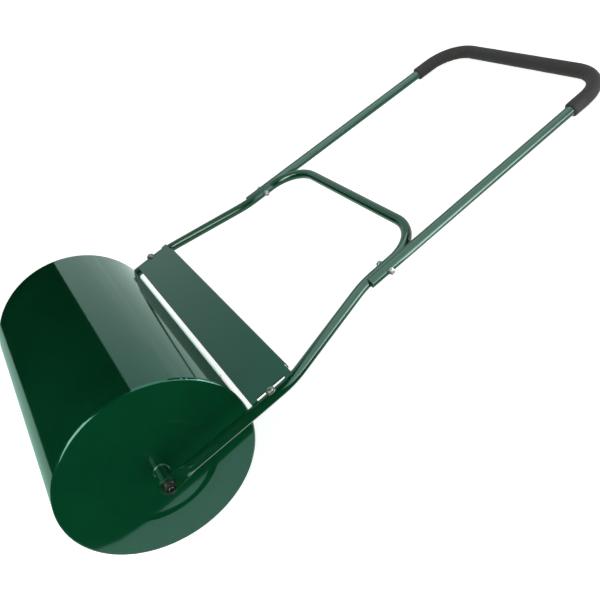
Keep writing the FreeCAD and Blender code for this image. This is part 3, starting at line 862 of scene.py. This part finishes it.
# ---- stage: floor, lights and camera ----
def stage_part(name, points, faces, material):
    """A plain piece of the stage that no gloss mirrors."""
    mesh = bpy.data.meshes.new(name)
    mesh.from_pydata(points, [], faces)
    mesh.materials.append(material)
    part = bpy.data.objects.new(name, mesh)
    bpy.context.scene.collection.objects.link(part)
    part.visible_glossy = False
    return part


def floor_part(name, outline, material):
    """A flat piece of the pale floor."""
    return stage_part(name, [(x, y, 0.0) for x, y in outline], [range(len(outline))], material)


def light_table(name, glow):
    """Matt white acrylic, very slightly mottled and lit softly from behind."""
    material, shader = new_material(name)
    cloud = noise_at(material, scale=3.0, detail=2.0).outputs["Fac"]
    tones = [(0.3, (0.80, 0.80, 0.80)), (0.7, (0.83, 0.83, 0.83))]
    link(material, colours_between(material, cloud, tones), shader, "Base Color")
    shader.inputs["Roughness"].default_value = 0.95
    shader.inputs["Specular IOR Level"].default_value = 0.0
    shader.inputs["Emission Color"].default_value = (1.0, 1.0, 1.0, 1)
    shader.inputs["Emission Strength"].default_value = glow
    return material


def softbox(name, place, facing, size, radiance, tint=(1, 1, 1), along=(0, 0, 1), in_gloss=True):
    """A rectangular soft light that shines evenly; along is the way that its second side runs.

    One in the gloss is only mirrored; the others only brighten what they shine on.
    """
    light = bpy.data.lights.new(name, "AREA")
    light.shape = "RECTANGLE"
    light.size, light.size_y = size
    light.energy = radiance * math.pi * size[0] * size[1]
    light.color = tint
    holder = bpy.data.objects.new(name, light)
    back = -Vector(facing).normalized()
    tall = (Vector(along) - back * back.dot(Vector(along))).normalized()
    turn = Matrix((tall.cross(back), tall, back)).transposed()
    holder.matrix_world = Matrix.Translation(place) @ turn.to_4x4()
    holder.visible_camera = False
    holder.visible_glossy = in_gloss
    holder.visible_diffuse = not in_gloss
    bpy.context.scene.collection.objects.link(holder)


FLOOR_REACH = 9.0
FLOOR_FRONT = -0.80
floor_acrylic = light_table("floor_acrylic", glow=0.86)
# Only this near part of the floor is mirrored, in the drum's end; it ends in a gentle curve.
NEAR_EDGE = [(0.45, FLOOR_FRONT), (0.42, -0.70), (0.38, -0.63), (0.36, -0.56), (0.34, -0.44),
             (0.328, -0.32), (0.32, FLOOR_REACH)]
NEAR_OUTLINE = [(0, FLOOR_FRONT)] + NEAR_EDGE + [(0, FLOOR_REACH)]
floor_part("floor_near", NEAR_OUTLINE, floor_acrylic)
floor_gloss = floor_part("floor_gloss", NEAR_OUTLINE, light_table("floor_gloss_acrylic", glow=0.42))
floor_gloss.visible_camera = False
floor_gloss.visible_diffuse = False
floor_gloss.visible_shadow = False
floor_gloss.visible_glossy = True
floor_part("floor_back", [(-FLOOR_REACH, FLOOR_FRONT), (0, FLOOR_FRONT), (0, FLOOR_REACH),
                          (-FLOOR_REACH, FLOOR_REACH)], floor_acrylic)
floor_part("floor_far", NEAR_EDGE + [(FLOOR_REACH, FLOOR_REACH), (FLOOR_REACH, FLOOR_FRONT)],
           floor_acrylic)
floor_part("floor_left", [(-FLOOR_REACH, -FLOOR_REACH), (FLOOR_REACH, -FLOOR_REACH),
                          (FLOOR_REACH, FLOOR_FRONT), (-FLOOR_REACH, FLOOR_FRONT)], floor_acrylic)
# A round pale backdrop stands on the floor; it only fills the view and lights nothing.
BACKDROP_R = 0.98 * FLOOR_REACH
BACKDROP_TOP = 12.0
PANELS = 96
backdrop = stage_part("backdrop",
                      [(BACKDROP_R * math.cos(angle), BACKDROP_R * math.sin(angle), z)
                       for z in (0.0, BACKDROP_TOP) for angle in turns(PANELS)],
                      [(k, (k + 1) % PANELS, PANELS + (k + 1) % PANELS, PANELS + k)
                       for k in range(PANELS)],
                      light_table("backdrop_paper", glow=0.22))
backdrop.visible_diffuse = False
backdrop.visible_shadow = False

PALE_GREEN = (0.80, 1.0, 0.94)
LEAF_GREEN = (0.60, 1.0, 0.83)
WARM = (0.92, 0.82, 0.70)
DOWN = -UP
LEFT = -RIGHT
LENGTHWAYS = Vector((0, 1, 0))
CARD_Z = 0.002
# The panel over the frame: its front edge is what the drum mirrors as a straight line.
PANEL_SWING = math.radians(2.2)
softbox("panel_light", (-1.079, 0.481, 0.50), DOWN, size=(2.3, 1.5), radiance=1.20, tint=PALE_GREEN,
        along=(-math.sin(PANEL_SWING), math.cos(PANEL_SWING), 0))
# Two low walls meet at a corner and close the gap between the panel and the horizon.
CORNER_X, CORNER_Y = -2.20, 1.25
WALL_MIDDLE, WALL_HEIGHT, WALL_RADIANCE = 0.345, 0.31, 1.24
for wall, length, across, facing in (("back", 1.48, -LENGTHWAYS, RIGHT), ("side", 2.30, RIGHT, -LENGTHWAYS)):
    middle = Vector((CORNER_X, CORNER_Y, WALL_MIDDLE)) + across * length / 2
    softbox(wall + "_wall_light", middle, facing, (length, WALL_HEIGHT), WALL_RADIANCE, PALE_GREEN)
# Two cards on the floor are mirrored low on the drum.
softbox("back_card_light", (-4.5, 4.1, CARD_Z), UP, size=(9.0, 9.8), radiance=1.17, tint=PALE_GREEN,
        along=LENGTHWAYS)
softbox("left_card_light", (-1.2, -1.7, CARD_Z), UP, size=(3.4, 1.8), radiance=0.66, tint=LEAF_GREEN,
        along=LENGTHWAYS)
# The lights that brighten the scene without being mirrored.
softbox("overhead_light", (0.3, -0.2, 2.6), DOWN, size=(2.6, 3.4), radiance=0.4, along=LENGTHWAYS,
        in_gloss=False)
softbox("side_light", (0.9, 0.3, 0.75), (-0.68, -0.45, -0.60), size=(0.5, 0.5), radiance=2.6,
        in_gloss=False)
softbox("front_light", (0.45, -1.05, 0.70), (-0.30, 0.55, -0.50), size=(0.6, 0.5), radiance=4.8,
        in_gloss=False)
# The lights that the tubes and the drum's rim mirror as bright lines.
softbox("sky_light", (1.0, 2.3, 2.2), DOWN, size=(4.6, 3.0), radiance=3.2, along=LENGTHWAYS)
softbox("streak_light", (1.255, 1.19, 0.003), UP, size=(1.85, 2.16), radiance=14.0, along=LENGTHWAYS)
softbox("tube_light", (3.2, 1.9, 1.1), LEFT, size=(3.0, 2.0), radiance=3.5)
softbox("rim_light", (1.45, -1.35, 1.46), (-1.20, 0.85, -1.16), size=(2.0, 1.3), radiance=12.0,
        tint=WARM, along=(-0.40, -1.21, -0.48))
softbox("rim_top_light", (0.35, -1.42, 2.05), DOWN, size=(1.7, 1.0), radiance=9.0, tint=WARM,
        along=LENGTHWAYS)

world = bpy.data.worlds.new("studio")
world.use_nodes = True
background = world.node_tree.nodes["Background"]
background.inputs["Color"].default_value = (1.0, 1.0, 1.0, 1)
background.inputs["Strength"].default_value = 0.20
bpy.context.scene.world = world
world.cycles_visibility.glossy = False
bpy.context.scene.view_settings.view_transform = "Standard"

LENS = 39.64
SENSOR = 36.0
CAMERA_PLACE = Vector((1.01615, -0.17435, 0.83524))
CAMERA_AIM = Vector((0.01006, -0.08583, 0.0))
CAMERA_ROLL = math.radians(-42.545)
camera_data = bpy.data.cameras.new("camera")
camera_data.lens = LENS
camera_data.sensor_width = SENSOR
camera = bpy.data.objects.new("camera", camera_data)
look = (CAMERA_AIM - CAMERA_PLACE).to_track_quat("-Z", "Y").to_matrix().to_4x4()
camera.matrix_world = Matrix.Translation(CAMERA_PLACE) @ look @ Matrix.Rotation(CAMERA_ROLL, 4, "Z")
bpy.context.scene.collection.objects.link(camera)
bpy.context.scene.camera = camera
